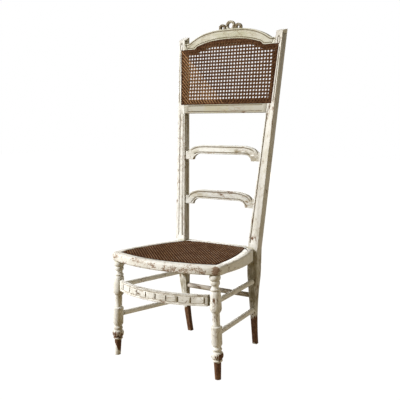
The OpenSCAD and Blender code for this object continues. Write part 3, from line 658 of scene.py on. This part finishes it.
def outer_edge(edge, level):
    """True on the outer edges of the frame's top, level 1, or underside, -1, but not where the
    side rails' square ends meet the front rail."""
    flat = [f for f in edge.link_faces if abs(f.normal.z) > flat_from]
    upright = [f for f in edge.link_faces if abs(f.normal.z) < upright_to]
    if not flat or not upright or flat[0].normal.z * level <= 0:
        return False
    normal = upright[0].normal
    middle = upright[0].calc_center_median()
    joint = abs(normal.y) > square_from and middle.y < joint_front_of
    return normal.x * middle.x + normal.y * middle.y > 0 and not joint


for node, material, over, under in (
        ("seat_rail_front", seat_paint, 0.010, 0.006), ("seat_rail_left", side_paint, 0.008, 0.006),
        ("seat_rail_right", side_paint, 0.008, 0.006), ("seat_rail_back", side_paint, 0.003, 0.003)):
    bm = blank(node)
    soften(bm, over, 5, lambda e: outer_edge(e, 1))
    soften(bm, under, 4, lambda e: outer_edge(e, -1))
    finish(bm, node + "_wood", node, material)

# ---- Front legs -----------------------------------------------------------------------------
# Turned legs with beads, a long barrel, a slim neck and a collar above a ball and ring. The
# paint is worn round the ball and stops in a ragged line below it, and the foot is dark bare
# wood with a little paint left, most of it on the left one.
ball_z, ball_spot_reach = 0.079, 0.021
ball_turns = (0.3, 1.35, 2.4, 3.44, 4.49, 5.54)
ball_low, ball_high = cut_box("front_leg_right", Z, ball_z)
ball = (ball_low + ball_high) / 2
ball_radius = (ball_high.y - ball_low.y) / 2
ball_spots = [(side * ball.x + ball_radius * math.cos(turn), ball.y + ball_radius * math.sin(turn), ball_z,
               ball_spot_reach) for side in (-1, 1) for turn in ball_turns]
leg_paint = painted("leg paint", chips=0.2, edge_chips=1.0, grime=0.3, grain=GRAIN_UP,
                    bare_below=0.060, ragged=0.010,
                    spots=ball_spots + [(0.24, -0.205, 0.086, 0.02), (0.222, -0.218, 0.275, 0.018)],
                    kept=[(-0.232, -0.209, 0.008, 0.034), (-0.234, -0.207, 0.03, 0.024),
                          (0.222, -0.1995, 0.0, 0.013)])
for node in ("front_leg_left", "front_leg_right"):
    finish(blank(node), node + "_wood", node, leg_paint)

# ---- Front stretcher ------------------------------------------------------------------------
# A bowed board, tenoned into the front legs. Upright slots part its front into a row of carved
# tablets, with a faint groove above them and another below.
# Its grooves take a light colour, which is dirt and painted shade in them.
stretcher_paint = painted("stretcher paint", chips=0.2, edge_chips=1.0, grime=0.45,
                          grain=GRAIN_ACROSS, groove_dirt=(0.60, 0.58, 0.5))
board_groove, groove_step, groove_steps = (0.0016, 0.0008), 0.0118, 15
low_groove_in, high_groove_in = 0.0075, 0.0065
bm = blank("front_stretcher")
board_low, board_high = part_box("front_stretcher")
bars = []
for z in (board_low.z + low_groove_in, board_high.z - high_groove_in):
    path = []
    for i in range(-groove_steps, groove_steps + 1):
        x = i * groove_step
        path.append(Vector((x, cut_box("front_stretcher", X, x)[0].y, z)))
    bars.append(groove_bar(path, *board_groove))
bm = carve(bm, bars)
finish(bm, "front_stretcher_board", "front_stretcher", stretcher_paint)

# ---- Round stretchers -----------------------------------------------------------------------
# Five plain round rods of wood, two at each side and one at the back, tenoned into the legs. The
# back one is a little stouter, and its paint has gone darker.
rod_paint = painted("rod paint", chips=0.06, edge_chips=0.3, grime=0.45, grain=GRAIN_BACK)
back_rod_paint = painted("back rod paint", paint=(0.55, 0.51, 0.47), chips=0.2, edge_chips=0.6,
                         grime=0.7, grain=GRAIN_ACROSS, stains=[(0.14, 0.16, 0.2, 0.035)])
back_rod_swell = 1.22
for node in ("side_stretcher_upper_left", "side_stretcher_upper_right",
             "side_stretcher_lower_left", "side_stretcher_lower_right"):
    finish(blank(node), node + "_rod", node, rod_paint)
bm = blank("back_stretcher")
low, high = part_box("back_stretcher")
middle = Matrix.Translation((low + high) / 2)
swell = middle @ Matrix.Diagonal((1, back_rod_swell, back_rod_swell, 1)) @ middle.inverted()
bmesh.ops.transform(bm, matrix=swell, verts=bm.verts)
finish(bm, "back_stretcher_rod", "back_stretcher", back_rod_paint)

# ---- Cane -----------------------------------------------------------------------------------
# Split rattan woven six ways: pairs of strands up and across, and single strands both ways on
# the slant, which leaves round holes. Round its edge the weave lies over a dense dark band, and
# a binder cane covers the rim.
split_cane, ins, outs = new_group("split cane", [
    ("Dark", "Color", (0.044, 0.0165, 0.007, 1)), ("Light", "Color", (0.39, 0.225, 0.11, 1)),
    ("Lightness", "Float", 0.5), ("Straight Tone", "Float", 0.4), ("Slant Highlight", "Float", 0.0)],
    [("Color", "Color"), ("Roughness", "Float"), ("Height", "Float")])
tree = split_cane
patch_share, fleck_share, slant_highlight_gain = 0.2, 0.8, 1.9
cane_rough, patch_smoother = 0.9, 0.2
place = add(tree, "TexCoord").outputs["Object"]
patch = step(tree, cloud(tree, place, 16, 4), 0.36, 0.66)
fleck = step(tree, cloud(tree, place, 330, 3), 0.36, 0.72)
tone = total(tree, times(tree, patch, patch_share), times(tree, fleck, fleck_share))
tone = times(tree, tone, ins["Lightness"])
# Painted highlight: the slanted strands, the upper ones most, are drawn lighter, as if lit along their
# tops.
painted_highlight = times(tree, times(tree, ins["Slant Highlight"], ins["Slant Highlight"]), slant_highlight_gain)
tone = times(tree, tone, total(tree, painted_highlight, ins["Straight Tone"]))
tree.links.new(blend(tree, tone, ins["Dark"], ins["Light"]), outs["Color"])
tree.links.new(less(tree, cane_rough, times(tree, patch, patch_smoother)), outs["Roughness"])
tree.links.new(fleck, outs["Height"])


def caned(name, lightness, straight=0.5):
    """Aged rattan, dark with lighter flecks and a painted highlight on the slanted strands: straight is
    how light the strands up and across are.
    """
    material = bpy.data.materials.new(name)
    material.use_nodes = True
    tree = material.node_tree
    shader = tree.nodes["Principled BSDF"]
    shader.inputs["Specular IOR Level"].default_value = 0.04
    slant = add(tree, "Attribute", attribute_name="slant")
    skin = add(tree, "Group", node_tree=split_cane)
    skin.inputs["Lightness"].default_value = lightness
    skin.inputs["Straight Tone"].default_value = straight
    tree.links.new(slant.outputs["Fac"], skin.inputs["Slant Highlight"])
    bump = add(tree, "Bump", {"Height": skin.outputs["Height"], "Strength": 0.5, "Distance": 0.0003})
    tree.links.new(skin.outputs["Color"], shader.inputs["Base Color"])
    tree.links.new(skin.outputs["Roughness"], shader.inputs["Roughness"])
    tree.links.new(bump.outputs["Normal"], shader.inputs["Normal"])
    return material


strand_cane = caned("cane strands", lightness=0.66)
seat_cane = caned("seat cane strands", lightness=0.52, straight=0.0)
band_cane = caned("cane band", lightness=0.12)
cane_pitch, pair_apart, uneven, edge_margin = 0.0133, 0.0018, 0.0006, 0.0025
strand_radius, strand_flat, weave_lift, strand_clear = 0.00185, 0.42, 0.0011, 0.0006
half_columns, half_slants = 60, 141
# Lifts at even and odd crossings of the lower and upper slants, and how much painted highlight their faces
# are marked with.
lower_lifts, upper_lifts = (0.4, 1.2), (1.7, 0.9)
lower_highlight, upper_highlight = 0.3, 1.0
uneven_turn, uneven_ratio = 7.3, 1.7


def woven(name, node, axis, low, high, to_frame):
    """Strands woven over the sheet of a node, whose width is read square to axis, low to high."""
    half_step = cane_pitch / 2
    rows = range(math.ceil(low / half_step), math.floor(high / half_step) + 1)
    widths = {j: cut_box(node, axis, j * half_step)[1].x - edge_margin for j in rows}
    columns = range(-half_columns, half_columns + 1)
    slants = range(-half_slants, half_slants + 1, 2)
    lines = []

    def lay(cells, shift, lift):
        """Adds the stretches of a strand through cells that lie on the sheet, a little unevenly."""
        run = []
        turn = uneven_turn * len(lines)
        shift = (shift[0] + uneven * math.sin(turn), shift[1] + uneven * math.cos(uneven_ratio * turn))
        for i, j in cells:
            if j in widths and abs(i * half_step) < widths[j]:
                run.append((i * half_step + shift[0], j * half_step + shift[1], lift(i, j)))
            else:
                if len(run) > 2:
                    lines.append(run)
                run = []
        if len(run) > 2:
            lines.append(run)

    def over(i, j):
        """One where a strand passes over at this crossing, minus one where it passes under."""
        return math.cos(math.pi * i / 2) * math.cos(math.pi * j / 2)

    for i in columns[::2]:
        for apart in (-pair_apart, pair_apart):
            lay([(i, j) for j in rows], (apart, 0), lambda i, j: weave_lift * over(i, j))
    for j in rows:
        if j % 2 == 0:
            for apart in (-pair_apart, pair_apart):
                lay([(i, j) for i in columns], (0, apart), lambda i, j: -weave_lift * over(i, j))
    straight = len(lines)
    for m in slants:
        lay([(m + j, j) for j in rows], (0, 0), lambda i, j: weave_lift * lower_lifts[i % 2])
    upper = len(lines)
    for m in slants:
        lay([(m - j, j) for j in rows], (0, 0), lambda i, j: weave_lift * upper_lifts[i % 2])
    bm = bmesh.new()
    slant = bm.faces.layers.float.new("slant")
    for highlight_mark, part in ((0.0, lines[:straight]), (lower_highlight, lines[straight:upper]),
                          (upper_highlight, lines[upper:])):
        curve = bpy.data.curves.new(name, "CURVE")
        curve.dimensions = "3D"
        curve.twist_mode = "Z_UP"
        curve.bevel_depth = strand_radius
        curve.bevel_resolution = 0
        curve.use_fill_caps = True
        for line in part:
            spline = curve.splines.new("POLY")
            spline.points.add(len(line) - 1)
            for point, (x, y, z) in zip(spline.points, line):
                point.co = (x, y, z / strand_flat, 1)
        holder = bpy.data.objects.new(name, curve)
        scene.collection.objects.link(holder)
        shape = holder.evaluated_get(bpy.context.evaluated_depsgraph_get())
        mesh = bpy.data.meshes.new_from_object(shape)
        bpy.data.objects.remove(holder)
        made = len(bm.faces)
        bm.from_mesh(mesh)
        bm.faces.ensure_lookup_table()
        for face in bm.faces[made:]:
            face[slant] = highlight_mark
    bmesh.ops.transform(bm, matrix=to_frame @ Matrix.Diagonal((1, 1, strand_flat, 1)), verts=bm.verts)
    return bm


def cane_band(node, width):
    """The dense band round a cane sheet: its outer width only, on both faces."""
    bm = blank(node)
    broad = sorted(bm.faces, key=lambda f: -f.calc_area())[:2]
    for face in broad:
        bmesh.ops.inset_region(bm, faces=[face], thickness=width, use_even_offset=True)
    bmesh.ops.delete(bm, geom=broad, context="FACES_ONLY")
    rims = [e for e in bm.edges if e.is_boundary]
    bmesh.ops.bridge_loops(bm, edges=rims)
    bmesh.ops.recalc_face_normals(bm, faces=bm.faces)
    return bm


panel_low, panel_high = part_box("back_cane")
seat_low, seat_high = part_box("seat_cane")
slope = (front_high - front_low) / (upright_high - upright_low)
sheet_z, back_band_width, seat_band_width = 1.0, 0.017, 0.012
sheet_front = cut_box("back_cane", Z, sheet_z)[0].y
up_the_back = Matrix(((1, 0, 0, 0), (0, slope, -1, sheet_front - slope * sheet_z - strand_clear),
                      (0, 1, 0, 0), (0, 0, 0, 1)))
on_the_seat = Matrix.Translation((0, 0, seat_high.z + strand_clear))
bm = woven("back_weave", "back_cane", Z, panel_low.z + edge_margin, panel_high.z - edge_margin,
           up_the_back)
finish(bm, "back_weave", "back_cane", strand_cane)
finish(cane_band("back_cane", back_band_width), "back_cane_band", "back_cane", band_cane)
bm = woven("seat_weave", "seat_cane", Y, seat_low.y + edge_margin, seat_high.y - edge_margin,
           on_the_seat)
finish(bm, "seat_weave", "seat_cane", seat_cane)
finish(cane_band("seat_cane", seat_band_width), "seat_cane_band", "seat_cane", band_cane)

# The binder canes keep their own shape, and take the dark cane as their finish.
for node in ("seat_cane_binder", "back_cane_binder"):
    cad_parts[node].data.materials.clear()
    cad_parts[node].data.materials.append(band_cane)
